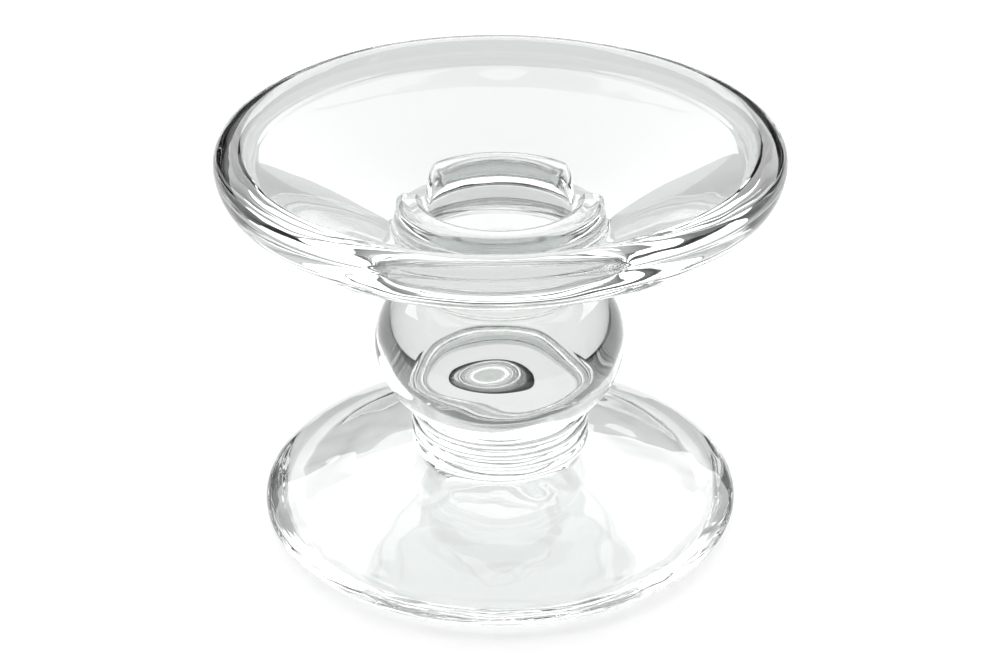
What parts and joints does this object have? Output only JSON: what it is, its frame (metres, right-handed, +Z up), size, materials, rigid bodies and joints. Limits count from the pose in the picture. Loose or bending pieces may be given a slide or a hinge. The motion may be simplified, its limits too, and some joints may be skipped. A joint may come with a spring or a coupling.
{
  "type": "glass candlestick",
  "caption": "Low clear glass candlestick: a wide drip dish with a split candle collar, on a flattened ball, a ringed neck and a domed foot.",
  "frame": {"origin": "centre of the foot's underside, on the surface it stands on", "axes": "+Z up along the axis of the candlestick, -Y towards the closed front of the candle collar"},
  "size_m": [0.1016, 0.1016, 0.077],
  "materials": {
    "foot_glass": "clear, fire polished",
    "stem_glass": "clear, fire polished",
    "dish_glass": "clear, fire polished"
  },
  "bodies": {
    "root": {"foot": "foot_glass", "neck_ring_1": "stem_glass", "neck_ring_2": "stem_glass", "neck_ring_3": "stem_glass", "neck_ring_4": "stem_glass", "ball": "stem_glass", "upper_wafer": "stem_glass", "drip_dish": "dish_glass", "candle_collar": "dish_glass"}
  },
  "joints": []
}
